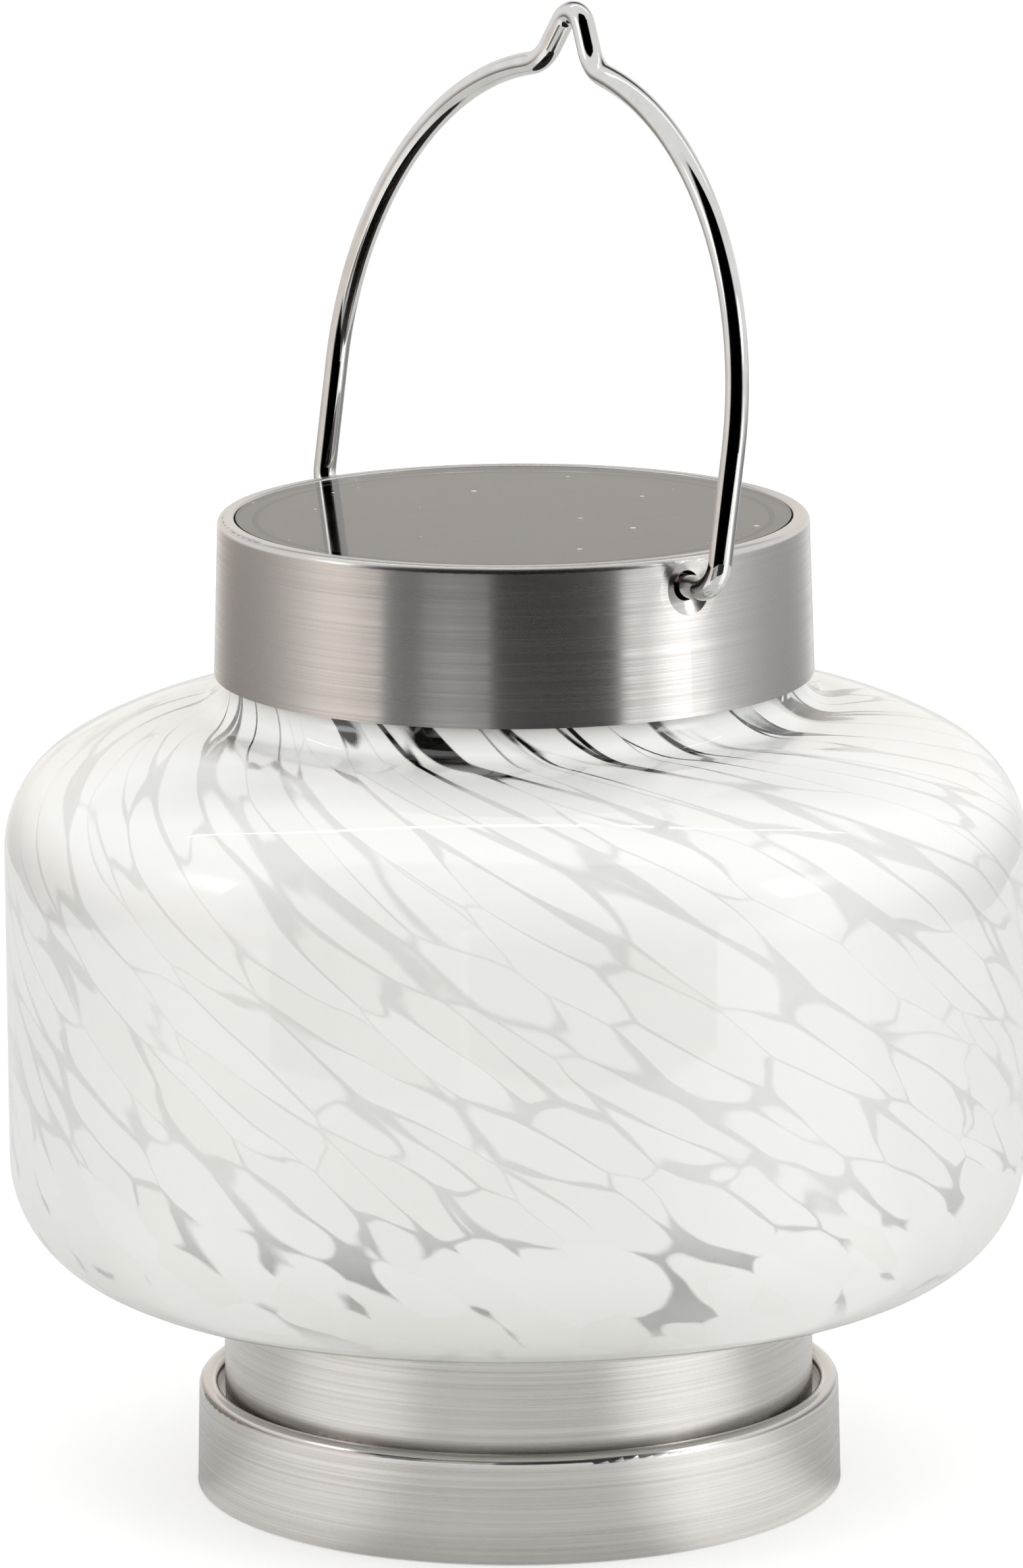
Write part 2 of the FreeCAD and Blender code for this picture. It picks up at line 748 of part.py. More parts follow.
def base_drum():
    """Foot drum: flared wall, half round rolled edge, and a flat deck sunk inside the roll."""
    roll_r = drum_radius_top - drum_roll_radius
    roll_z = drum_top - drum_roll_radius
    inner_roll = drum_roll_radius - sheet
    well = roll_r - drum_roll_radius
    return turned([
        (drum_radius_bottom - sheet, drum_bottom),
        (drum_radius_bottom, drum_bottom),
        (roll_r, roll_z, drum_roll_radius, 0.0, 180.0),
        (well, deck_top),
        (0.0, deck_top),
        (0.0, deck_bottom),
        (well + sheet, deck_bottom),
        (roll_r, roll_z, inner_roll, 180.0, 0.0),
    ])


def screw_places():
    angles = even_angles(base_screw_count, base_screw_first_angle)
    return [polar(base_screw_circle, angle) for angle in angles]


def with_screw_holes(body, low, high):
    for x, y in screw_places():
        body = body.cut(disc(base_screw_radius + small_gap, low, high, x, y))
    return body


def base_collar():
    wall_edge = sheet / 2.0
    cup = turned([
        (0.0, deck_top),
        (collar_radius, deck_top),
        (collar_radius - wall_edge, collar_top - wall_edge, wall_edge, 0.0, 180.0),
        (collar_inner, collar_floor_top),
        (0.0, collar_floor_top),
    ])
    return with_screw_holes(cup, deck_top, collar_floor_top)


def seat_gasket():
    return ring(lower_neck_inner - loose_gap, collar_inner - loose_gap, collar_floor_top, glass_bottom)


screw_tip = deck_bottom - base_nut_height - base_screw_end


def base_screws():
    screws = []
    for x, y in screw_places():
        shank = disc(base_screw_radius, screw_tip, collar_floor_top, x, y)
        head_top = collar_floor_top + base_screw_head_height
        head = disc(base_screw_head_radius, collar_floor_top, head_top, x, y)
        screws.append(shank.fuse(head).removeSplitter())
    return Part.makeCompound(screws)


def base_nuts():
    corner = base_nut_flats / 2.0 / math.cos(math.pi / base_nut_sides)
    nuts = []
    for x, y in screw_places():
        corners = [polar(corner, angle) for angle in even_angles(base_nut_sides)]
        points = [V(x + dx, y + dy, deck_bottom - base_nut_height) for dx, dy in corners]
        hexagon = Part.Face(Part.makePolygon(points + points[:1]))
        nut = hexagon.extrude(V(0, 0, base_nut_height))
        bore = disc(base_screw_radius + screw_gap, deck_bottom - base_nut_height, deck_bottom, x, y)
        nuts.append(nut.cut(bore))
    return Part.makeCompound(nuts)


def base_cover():
    """Plug of the drum's underside: a disc with a skirt that stops against the deck."""
    low = foot_pad_thickness
    skirt = cover_radius - base_skirt_inset
    return turned([
        (0.0, low),
        (cover_radius, low),
        (cover_radius, low + base_cover_thickness),
        (skirt, low + base_cover_thickness),
        (skirt, deck_bottom),
        (skirt - base_skirt_wall, deck_bottom),
        (skirt - base_skirt_wall, low + base_cover_thickness),
        (0.0, low + base_cover_thickness),
    ])


def foot_pads():
    angles = even_angles(foot_pad_count, foot_pad_first_angle)
    places = [polar(foot_pad_circle, angle) for angle in angles]
    return Part.makeCompound([disc(foot_pad_radius, 0.0, foot_pad_thickness, x, y) for x, y in places])


pieces = {
    "glass_shade": glass_shade(),
    "neck_ring": neck_ring(),
    "seat_gasket": seat_gasket(),
    "base_collar": base_collar(),
    "base_drum": with_screw_holes(base_drum(), deck_bottom, deck_top),
    "base_screws": base_screws(),
    "base_nuts": base_nuts(),
    "base_cover": base_cover(),
    "foot_pads": foot_pads(),
    "lid_seal": lid_seal(),
    "cap_shell": cap_shell(),
    "cap_liner": cap_liner(),
    "panel_gasket": panel_gasket(),
    "panel_cover": panel_cover(),
    "solar_cells": solar_cells(),
    "panel_board": disc(panel_board_radius, board_ledge, cells_low),
    "lamp_housing": lamp_housing(),
    "circuit_board": circuit_board(),
    "board_screws": board_screws(),
    "led_lamp": led_lamp(),
    "led_lens": led_lens(),
    "switch_body": switch_body(),
    "switch_button": switch_button(),
    "battery_cell": battery_cell(),
    "battery_tab": battery_tab(),
    "battery_leaf": battery_leaf(),
    "battery_door": battery_door(),
    "panel_lead_red": panel_lead(*panel_lead_places[0]),
    "panel_lead_black": panel_lead(*panel_lead_places[1]),
    "battery_lead_red": battery_lead(-1),
    "battery_lead_black": battery_lead(1),
    "bail_handle": bail_handle(),
}

for name, shape in pieces.items():
    shape.exportStep("parts/" + name + ".step")
    box = shape.BoundBox
    print("%-20s solids %d valid %s volume %9.1f  z %.2f to %.2f" % (
        name, len(shape.Solids), shape.isValid(), shape.Volume, box.ZMin, box.ZMax))
print("cap from %.2f to %.2f, pivot at %.2f, collar top %.2f" % (cap_bottom, cap_top, pivot_z, collar_top))
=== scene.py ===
# %% [markdown]
# A solar lantern: a squat bulb of blown glass, flecked with white, stands in a round steel foot.
# A steel cap screws onto its neck. The cap holds the solar panel, the lamp and a wire bail.
# The frame below brings in every construction piece at its real size, in metres.
# This lesson dresses those pieces: most only get a finish, and the glass shade, which catches the
# eye most, is modelled again as a smooth mesh in the same place.

# %% Load the frame
import json
import math

import bmesh
import bpy
from mathutils import Matrix, Vector


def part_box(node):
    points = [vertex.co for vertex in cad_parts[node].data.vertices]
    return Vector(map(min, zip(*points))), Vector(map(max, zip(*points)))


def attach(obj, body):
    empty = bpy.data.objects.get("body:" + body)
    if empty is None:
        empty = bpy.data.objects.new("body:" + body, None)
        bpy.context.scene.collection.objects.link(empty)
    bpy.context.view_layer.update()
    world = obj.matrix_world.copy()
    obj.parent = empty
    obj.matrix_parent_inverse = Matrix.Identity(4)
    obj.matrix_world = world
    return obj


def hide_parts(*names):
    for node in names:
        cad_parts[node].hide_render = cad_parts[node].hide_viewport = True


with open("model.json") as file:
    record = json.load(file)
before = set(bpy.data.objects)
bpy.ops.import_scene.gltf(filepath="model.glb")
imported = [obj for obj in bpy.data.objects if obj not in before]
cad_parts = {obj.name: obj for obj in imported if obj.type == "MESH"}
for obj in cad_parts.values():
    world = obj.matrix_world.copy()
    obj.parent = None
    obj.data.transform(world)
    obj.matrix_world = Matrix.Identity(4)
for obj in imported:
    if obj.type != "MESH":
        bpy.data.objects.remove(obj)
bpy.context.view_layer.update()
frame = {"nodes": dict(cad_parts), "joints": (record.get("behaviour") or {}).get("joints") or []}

MM = 0.001
nodes = frame["nodes"]

# %% [markdown]
# Colours are written as the hex codes that a screen shows. Blender mixes light in linear values, so
# one function turns a code into those. A second small function adds a node, sets it and links it.
# A third starts a material, and hands back its node tree and its main shader. Many values are taken
# from one range to another on their way, so the four ends of such a ramp are written in one place.

# %% Colour and node helpers
def linear(code):
    """Linear colour of an sRGB hex code such as "d8d4cc"."""
    shares = [int(code[i:i + 2], 16) / 255 for i in (0, 2, 4)]
    return tuple(c / 12.92 if c <= 0.04045 else ((c + 0.055) / 1.055) ** 2.4 for c in shares) + (1.0,)


def add(tree, kind, inputs=None, **settings):
    """Adds one node: settings are its options, and inputs are values or the sockets that feed it."""
    node = tree.nodes.new("ShaderNode" + kind)
    for name, value in settings.items():
        setattr(node, name, value)
    for name, value in (inputs or {}).items():
        if isinstance(value, bpy.types.NodeSocket):
            tree.links.new(value, node.inputs[name])
        else:
            node.inputs[name].default_value = value
    return node


def start_material(name, **values):
    """New material with one main shader, whose plain values are set on its own sockets."""
    material = bpy.data.materials.new(name)
    material.use_nodes = True
    tree = material.node_tree
    shader = tree.nodes["Principled BSDF"]
    for socket, value in values.items():
        shader.inputs[socket.replace("_", " ")].default_value = value
    return material, tree, shader


def per_mm(length):
    """Noise scale that gives a pattern of this size in millimetres on metre coordinates."""
    return 1.0 / (length * MM)


def ramp(low, high, at_low, at_high):
    """The two ends of a range, and the values that they are taken to."""
    return {"From Min": low, "From Max": high, "To Min": at_low, "To Max": at_high}


# Setting of a ramp that starts and ends softly
SOFT_ENDS = {"interpolation_type": "SMOOTHSTEP"}

print("helpers ready, white is", linear("ffffff")[:3])

# %% [markdown]
# The camera stands where the photographer stood: a little above the cap, at 55 degrees round from
# the front, far away with a long lens, so that the upright lines stay nearly parallel.
# Its place was found by fitting the outlines of the glass, the cap and the foot.

# %% Camera
VIEW_TURN = 54.8
VIEW_DISTANCE = 1.26515
VIEW_HEIGHT = 0.36437
VIEW_DROP = 11.89
VIEW_ROLL = -0.36
PICTURE_HEIGHT = 2380
FOCAL_PIXELS = 14338
SIDE_SHIFT_PIXELS = 5.5

bpy.context.scene.view_settings.view_transform = "Standard"
camera = bpy.data.objects.new("camera", bpy.data.cameras.new("camera"))
bpy.context.scene.collection.objects.link(camera)
bpy.context.scene.camera = camera
camera.data.sensor_width = 36.0
camera.data.lens = camera.data.sensor_width * FOCAL_PIXELS / PICTURE_HEIGHT
camera.data.shift_x = -SIDE_SHIFT_PIXELS / PICTURE_HEIGHT
view_turn = math.radians(VIEW_TURN)
away_x = VIEW_DISTANCE * math.sin(view_turn)
away_y = -VIEW_DISTANCE * math.cos(view_turn)
camera.matrix_world = (
    Matrix.Translation((away_x, away_y, VIEW_HEIGHT))
    @ Matrix.Rotation(view_turn, 4, "Z")
    @ Matrix.Rotation(math.radians(90.0 - VIEW_DROP), 4, "X")
    @ Matrix.Rotation(math.radians(VIEW_ROLL), 4, "Z")
)
print("camera lens", round(camera.data.lens, 1), "mm")

# %% [markdown]
# The set is a plain pale floor under a white sky. Both show as white to the camera, to mirrors and to
# glass, while they light the object at a plain level: the sky more from the sides than from above, as
# the white walls of a studio do.
# Three lamps light the object: a soft box at the right, one high in front, and a thin strip behind,
# which draws the bright line on the glass. Polished metal shows what stands round it, so bright
# cards and dark flags stand where a photographer would put them, and make the bands on the steel.
# The cards and flags are seen only in mirrors: they shade nothing, and no camera sees them.

# %% Set: sky and floor
def seen_directly(tree):
    """1 for rays that show the set itself: from the camera, off a mirror or through glass."""
    path = add(tree, "LightPath")
    mirror = add(tree, "Math", {0: path.outputs["Is Camera Ray"], 1: path.outputs["Is Glossy Ray"]},
                 operation="MAXIMUM")
    return add(tree, "Math", {0: mirror.outputs[0], 1: path.outputs["Is Transmission Ray"]},
               operation="MAXIMUM").outputs[0]


# Light of the sky at the horizon and straight above
SKY_LOW = 1.44
SKY_HIGH = 0.63
sky = bpy.data.worlds.new("sky")
bpy.context.scene.world = sky
sky.use_nodes = True
# Without this, rough steel would still get light from the sky behind a card
sky.cycles.sampling_method = "NONE"
sky_tree = sky.node_tree
sky_way = add(sky_tree, "TexCoord").outputs["Generated"]
sky_rise = add(sky_tree, "SeparateXYZ", {0: sky_way}).outputs["Z"]
sky_light = add(sky_tree, "MapRange", {"Value": sky_rise, **ramp(0.0, 1.0, SKY_LOW, SKY_HIGH)}).outputs[0]
sky_strength = add(sky_tree, "MapRange", {"Value": seen_directly(sky_tree), "To Min": sky_light})
sky_background = sky_tree.nodes["Background"]
sky_background.inputs["Color"].default_value = linear("ffffff")
sky_tree.links.new(sky_strength.outputs[0], sky_background.inputs["Strength"])

FLOOR_SIZE = 12.0
FLOOR_GLOW = 0.38
# Pools of light in mirrors: turn from the camera, spread to each side in degrees, and glow
FLOOR_POOLS = ((56.0, 32.0, 0.55), (-58.0, 32.0, 0.36))


def set_piece(name, bm, material):
    """Turns a bmesh into a thing of the set, which is no part of the lantern."""
    mesh = bpy.data.meshes.new(name)
    bm.to_mesh(mesh)
    bm.free()
    mesh.materials.append(material)
    thing = bpy.data.objects.new(name, mesh)
    bpy.context.scene.collection.objects.link(thing)
    return thing


def floor_pools(tree):
    """Glow of the floor in mirrors: a pool of light on each side of the camera."""
    spot = add(tree, "TexCoord").outputs["Object"]
    bearing = add(tree, "VectorMath", {0: spot}, operation="NORMALIZE").outputs[0]
    glow = 0.0
    for turn, spread, strength in FLOOR_POOLS:
        angle = math.radians(VIEW_TURN + turn)
        towards = (math.sin(angle), -math.cos(angle), 0)
        along = add(tree, "VectorMath", {0: bearing, 1: towards}, operation="DOT_PRODUCT").outputs["Value"]
        rim = math.cos(math.radians(spread))
        pool = add(tree, "MapRange", {"Value": along, **ramp(rim, 1.0, 0.0, strength)}, **SOFT_ENDS)
        glow = add(tree, "Math", {0: glow, 1: pool.outputs[0]}, operation="ADD").outputs[0]
    return glow


floor_material, floor_tree, floor_shader = start_material(
    "pale_floor", Base_Color=linear("e8e8e6"), Emission_Color=linear("ffffff"), Roughness=0.9,
    Specular_IOR_Level=0.0)
floor_path = add(floor_tree, "LightPath").outputs
mirror_rays = {0: floor_path["Is Glossy Ray"], 1: floor_path["Is Transmission Ray"]}
floor_mirrored = add(floor_tree, "Math", mirror_rays, operation="MAXIMUM").outputs[0]
camera_rays = {0: floor_path["Is Camera Ray"], 1: FLOOR_GLOW}
floor_seen = add(floor_tree, "Math", camera_rays, operation="MULTIPLY").outputs[0]
floor_glow = add(floor_tree, "Math", {0: floor_mirrored, 1: floor_pools(floor_tree), 2: floor_seen},
                 operation="MULTIPLY_ADD")
floor_tree.links.new(floor_glow.outputs[0], floor_shader.inputs["Emission Strength"])
floor_bm = bmesh.new()
bmesh.ops.create_grid(floor_bm, x_segments=1, y_segments=1, size=FLOOR_SIZE / 2)
set_piece("floor", floor_bm, floor_material)
print("sky from", SKY_LOW, "to", SKY_HIGH, "and a floor", FLOOR_SIZE, "m wide")

# %% Set: lamps and flags
AIM_HEIGHT = 0.10


def round_the_object(turn, height, distance):
    """Place at a turn to the right of the camera, as seen from the lantern, in degrees and metres."""
    angle = math.radians(VIEW_TURN + turn)
    return Vector((distance * math.sin(angle), -distance * math.cos(angle), height))


def soft_box(name, turn, height, distance, width, tall, glow, mirrored):
    """Area lamp that faces the object; its glow is the brightness of its own face."""
    lamp = bpy.data.lights.new(name, "AREA")
    lamp.shape = "RECTANGLE"
    lamp.size = width
    lamp.size_y = tall
    lamp.energy = glow * math.pi * width * tall
    box = bpy.data.objects.new(name, lamp)
    bpy.context.scene.collection.objects.link(box)
    place = round_the_object(turn, height, distance)
    aim = Vector((0, 0, AIM_HEIGHT)) - place
    box.matrix_world = Matrix.Translation(place) @ aim.to_track_quat("-Z", "Y").to_matrix().to_4x4()
    box.visible_glossy = mirrored


def mirror_card(name, turn, distance, width, low, high, middle, edge, colour="ffffff", fade=0.2,
                upright=1.0):
    """Card that only mirrors show. Its glow goes from the middle's to the edge's beyond the fade."""
    material, tree, shader = start_material(
        name, Base_Color=linear("000000"), Emission_Color=linear(colour), Roughness=1.0,
        Specular_IOR_Level=0.0)
    place = add(tree, "TexCoord").outputs["Object"]
    reach = (2 / width, 2 * upright / (high - low), 0)
    flat = add(tree, "Mapping", {"Vector": place, "Scale": reach}).outputs[0]
    away = add(tree, "VectorMath", {0: flat}, operation="LENGTH").outputs["Value"]
    glow = add(tree, "MapRange", {"Value": away, **ramp(fade, 1.0, middle, edge)}, **SOFT_ENDS)
    tree.links.new(glow.outputs[0], shader.inputs["Emission Strength"])
    bm = bmesh.new()
    bmesh.ops.create_grid(bm, x_segments=1, y_segments=1, size=0.5)
    bmesh.ops.scale(bm, vec=(width, high - low, 1), verts=bm.verts)
    card = set_piece(name, bm, material)
    place = round_the_object(turn, (low + high) / 2, distance)
    aim = Vector((-place.x, -place.y, 0))
    card.matrix_world = Matrix.Translation(place) @ aim.to_track_quat("Z", "Y").to_matrix().to_4x4()
    card.visible_camera = False
    card.visible_shadow = False
    card.visible_diffuse = False
    card.visible_transmission = False


# Turn to the right of the camera, height, distance, width, tallness, glow, and whether mirrors show it
soft_box("right_box", 56.0, 0.56, 1.05, 0.55, 1.08, 0.5, False)
soft_box("front_box", 0.0, 1.60, 0.75, 0.70, 0.60, 2.0, False)
soft_box("back_strip", 180.0, 1.25, 0.50, 2.0, 0.022, 6.0, True)
# Turn, distance, width, lowest and highest point, glow in the middle and at the edge, and colour
mirror_card("right_glow", 66.0, 0.90, 0.64, 0.36, 0.76, 4.5, 1.0)
mirror_card("left_glow", -72.0, 0.90, 0.66, 0.38, 0.74, 3.5, 1.0)
mirror_card("right_card", 64.0, 0.50, 0.30, -0.15, 0.25, 2.0, 1.0)
mirror_card("left_card", -64.0, 0.50, 0.22, -0.15, 0.25, 0.95, 0.95, "fff2e8")
mirror_card("front_flag", 14.6, 0.20, 0.172, 0.04, 0.12, 0.03, 0.06)
mirror_card("dim_flag", -21.0, 0.19, 0.075, 0.04, 0.12, 0.64, 0.46)
mirror_card("left_flag", -36.3, 0.20, 0.075, 0.04, 0.12, 0.22, 0.24)
mirror_card("high_flag", -4.0, 0.20, 0.76, 0.12, 0.90, 0.0, 0.90, fade=0.6, upright=0.3)
mirror_card("back_card", 180.0, 1.20, 1.80, 0.08, 0.70, 0.88, 0.98, "fffaf3")
mirror_card("back_flag", 180.0, 0.50, 1.10, 0.42, 0.84, 0.05, 0.80)
mirror_card("far_left_flag", -119.0, 0.42, 0.90, -0.15, 0.18, 0.26, 0.92, "fff7f0")
mirror_card("far_right_flag", 118.0, 0.42, 0.85, -0.15, 0.18, 0.32, 0.92)
print("set:", len(bpy.data.lights), "lamps, five bright cards and seven flags")

# %% [markdown]
# Most pieces of the lantern were turned or spun. Here the glass shade is drawn that way, as one outline
# swung round the upright axis. A pen draws the outline: a straight stretch extrudes the last point, and an
# arc swings it about the arc's middle with the same spin operator that later makes the whole form.

# %% Pen and lathe helpers
ROUND_STEPS = 192


def pen_start(bm, r, z):
    """First point of an outline, at radius r and height z in millimetres."""
    return bm.verts.new((r * MM, 0, z * MM))


def pen_line(bm, tip, r, z):
    """Straight stretch from the tip to radius r and height z."""
    made = bmesh.ops.extrude_vert_indiv(bm, verts=[tip])
    made["verts"][0].co = (r * MM, 0, z * MM)
    return made["verts"][0]


def pen_arc(bm, tip, centre_r, centre_z, turn, steps):
    """Arc from the tip about a centre, by a turn in degrees, counted upwards from outside."""
    made = bmesh.ops.spin(bm, geom=[tip], cent=(centre_r * MM, 0, centre_z * MM), axis=(0, -1, 0),
                          angle=math.radians(turn), steps=steps)
    return [item for item in made["geom_last"] if isinstance(item, bmesh.types.BMVert)][0]


def lathe(bm, steps=ROUND_STEPS):
    """Swings the outline round the upright axis and closes the seam."""
    bmesh.ops.spin(bm, geom=bm.verts[:] + bm.edges[:], cent=(0, 0, 0), axis=(0, 0, 1),
                   angle=2 * math.pi, steps=steps, use_merge=True)
    bmesh.ops.remove_doubles(bm, verts=bm.verts, dist=0.0001 * MM)
    bmesh.ops.recalc_face_normals(bm, faces=bm.faces)


SHARP_TURN = 32.0


def make_piece(name, bm, material, body, slot, *stands_for):
    """Turns a finished bmesh into a smooth piece that rides on a body and stands for frame nodes."""
    mesh = bpy.data.meshes.new(name)
    bm.to_mesh(mesh)
    bm.free()
    mesh.shade_smooth()
    mesh.set_sharp_from_angle(angle=math.radians(SHARP_TURN))
    mesh.materials.append(material)
    piece = bpy.data.objects.new(name, mesh)
    bpy.context.scene.collection.objects.link(piece)
    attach(piece, body)
    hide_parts(*stands_for)
    print(name, len(mesh.polygons), "faces")


print("lathe ready,", ROUND_STEPS, "steps a turn")

# %% [markdown]
# Blown glass with white frit: chips of white glass are rolled onto a clear gather, melted in and
# blown out. Low on the bulb the chips stay round. Higher up, where the glass is drawn to the neck
# and turned, they are pulled into slanting streaks. Between them the glass is clear, and shows the
# inside: the far wall, the steel floor and, under the cap, the black lamp housing.
# The pattern lives on an attribute of the shade, chip_flow, that unrolls the swirl: cells that are
# round in it come out as streaks on the glass. A chip is opal, so it passes some light.

# %% Frit glass
CHIP_SIZE = 9.0
CHIP_WANDER = 4.5
CHIP_EDGE = (-0.04, 0.07)
# Veil of white in the gaps: at the foot, just above it, on the wall, and in the narrow slits
FOOT_VEIL, LOW_VEIL, WALL_VEIL, SLIT_VEIL = 0.9, 0.42, 0.78, 0.8
# Heights between which the look changes, from the foot to the neck
FOOT_BAND = (35 * MM, 39 * MM)
PEBBLE_BAND = (44 * MM, 56 * MM)
WALL_BAND = (45 * MM, 56 * MM)
OPAL_BAND = (88 * MM, 104 * MM)
SLIT_BAND = (107.7 * MM, 108.8 * MM)


def chip_cells(tree, flow, height):
    """Share of chip, from 0 in a gap to 1 on a chip, a random tone for each chip, and the gaps' spread."""
    wander = add(tree, "TexNoise", {"Vector": flow, "Scale": 1 / CHIP_SIZE, "Detail": 1.0})
    offset = add(tree, "VectorMath", {0: wander.outputs["Color"], 1: (0.5, 0.5, 0.5)}, operation="SUBTRACT")
    shove = add(tree, "VectorMath", {0: offset.outputs[0], "Scale": CHIP_WANDER}, operation="SCALE")
    bent = add(tree, "VectorMath", {0: flow, 1: shove.outputs[0]}, operation="ADD").outputs[0]
    cells = {"Vector": bent, "Scale": 1 / CHIP_SIZE, "Randomness": 0.9}
    near = add(tree, "TexVoronoi", cells, feature="F1")
    second = add(tree, "TexVoronoi", cells, feature="F2").outputs["Distance"]
    share = add(tree, "Math", {0: near.outputs["Distance"], 1: second}, operation="DIVIDE").outputs[0]
    spread = add(tree, "TexNoise", {"Vector": flow, "Scale": 0.9 / CHIP_SIZE, "Detail": 1.0}).outputs["Fac"]
    slit = add(tree, "MapRange", {"Value": spread, **ramp(0.34, 0.68, 1.0, 0.83)}, **SOFT_ENDS).outputs[0]
    streak = add(tree, "Math", {0: slit, 1: share}, operation="SUBTRACT").outputs[0]
    size = add(tree, "MapRange", {"Value": spread, **ramp(0.36, 0.64, 0.90, 0.61)}, **SOFT_ENDS).outputs[0]
    pebble = add(tree, "Math", {0: size, 1: near.outputs["Distance"]}, operation="SUBTRACT").outputs[0]
    high = add(tree, "MapRange", {"Value": height, **ramp(*PEBBLE_BAND, 0.0, 1.0)}, **SOFT_ENDS).outputs[0]
    depth = add(tree, "Mix", {"Factor": high, "A": pebble, "B": streak}).outputs["Result"]
    chip = add(tree, "MapRange", {"Value": depth, **ramp(*CHIP_EDGE, 0.0, 1.0)}, **SOFT_ENDS).outputs[0]
    tone = add(tree, "SeparateColor", {0: near.outputs["Color"]}).outputs["Red"]
    return chip, tone, spread


def gap_veil(tree, height, spread):
    """Thin white that the gaps still hold: much at the foot, little above it, and least under the cap."""
    low = ramp(*FOOT_BAND, FOOT_VEIL, LOW_VEIL)
    foot = add(tree, "MapRange", {"Value": height, **low}, **SOFT_ENDS).outputs[0]
    wall = add(tree, "MapRange", {"Value": height, **ramp(*WALL_BAND, foot, WALL_VEIL)}).outputs[0]
    wide = ramp(0.42, 0.50, SLIT_VEIL, 0.0)
    slits = add(tree, "MapRange", {"Value": spread, **wide}, **SOFT_ENDS).outputs[0]
    return add(tree, "MapRange", {"Value": height, **ramp(*SLIT_BAND, wall, slits)}).outputs[0]


def frit_glass():
    material, tree, shader = start_material("frit_glass", IOR=1.5, Coat_Weight=1.0, Coat_Roughness=0.03)
    flow = add(tree, "Attribute", attribute_name="chip_flow").outputs["Vector"]
    frit = add(tree, "Attribute", attribute_name="frit").outputs["Fac"]
    height = add(tree, "SeparateXYZ", {0: add(tree, "TexCoord").outputs["Object"]}).outputs["Z"]
    chip, tone, spread = chip_cells(tree, flow, height)
    veil = gap_veil(tree, height, spread)
    veiled = add(tree, "MapRange", {"Value": chip, "To Min": veil}).outputs[0]
    white = add(tree, "Math", {0: veiled, 1: frit}, operation="MULTIPLY").outputs[0]
    chip_colour = add(tree, "Mix", {"Factor": tone, "A": linear("f8f8f4"), "B": linear("fcfcf9")},
                      data_type="RGBA")
    colour = add(tree, "Mix", {"Factor": white, "A": linear("f6f6f3"), "B": chip_colour.outputs["Result"]},
                 data_type="RGBA")
    tree.links.new(colour.outputs["Result"], shader.inputs["Base Color"])
    opal = add(tree, "MapRange", {"Value": height, **ramp(*OPAL_BAND, 0.20, 0.05)}, **SOFT_ENDS).outputs[0]
    clear = add(tree, "MapRange", {"Value": white, "To Min": 1.0, "To Max": opal})
    tree.links.new(clear.outputs[0], shader.inputs["Transmission Weight"])
    rough = add(tree, "MapRange", {"Value": white, "To Min": 0.03, "To Max": 0.50})
    tree.links.new(rough.outputs[0], shader.inputs["Roughness"])
    return material


frit_glass_material = frit_glass()
print("frit glass: cells of", CHIP_SIZE, "mm before the swirl stretches them")

# %% [markdown]
# The shade is one blown wall, 3 mm thick. Its outline has a straight band round the middle, tight
# corners above and below it, wide shoulders, and a hollow fillet at each neck.
# Each arc's middle follows from the next one's, because they meet without a kink.

# %% Glass shade
shade_low, shade_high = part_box("glass_shade")
GLASS_FOOT = shade_low.z / MM
NECK_TOP = shade_high.z / MM
GLASS_RADIUS = shade_high.x / MM
GLASS_WALL = 3.0
FOOT_RADIUS = 39.2
FOOT_FILLET = 1.5
BAND_LOW = GLASS_FOOT + 32.8
BAND_HIGH = BAND_LOW + 42.7
LOW_CORNER, LOW_TURN, LOW_SHOULDER = 16.3, 76.4, 64.6
HIGH_CORNER, HIGH_TURN, HIGH_SHOULDER = 15.4, 59.5, 46.0
BEAD_RADIUS = 39.3
BEAD_FILLET = 5.5
BEAD_HEIGHT = 2.0
BEAD_EDGE = 0.8
NECK_RADIUS = 35.6
NECK_FILLET = 6.0


def shoulder_middle(corner_z, corner, turn, shoulder, up):
    reach = shoulder - corner
    return (GLASS_RADIUS - corner - reach * math.cos(math.radians(turn)),
            corner_z - up * reach * math.sin(math.radians(turn)))


def fillet_middle(middle, shoulder, side, fillet, up):
    """Middle of the hollow arc between a shoulder and an upright wall, and the angle where they meet."""
    r = side + fillet
    z = middle[1] + up * math.sqrt((shoulder + fillet) ** 2 - (r - middle[0]) ** 2)
    return r, z, math.degrees(math.atan2(z - middle[1], r - middle[0]))


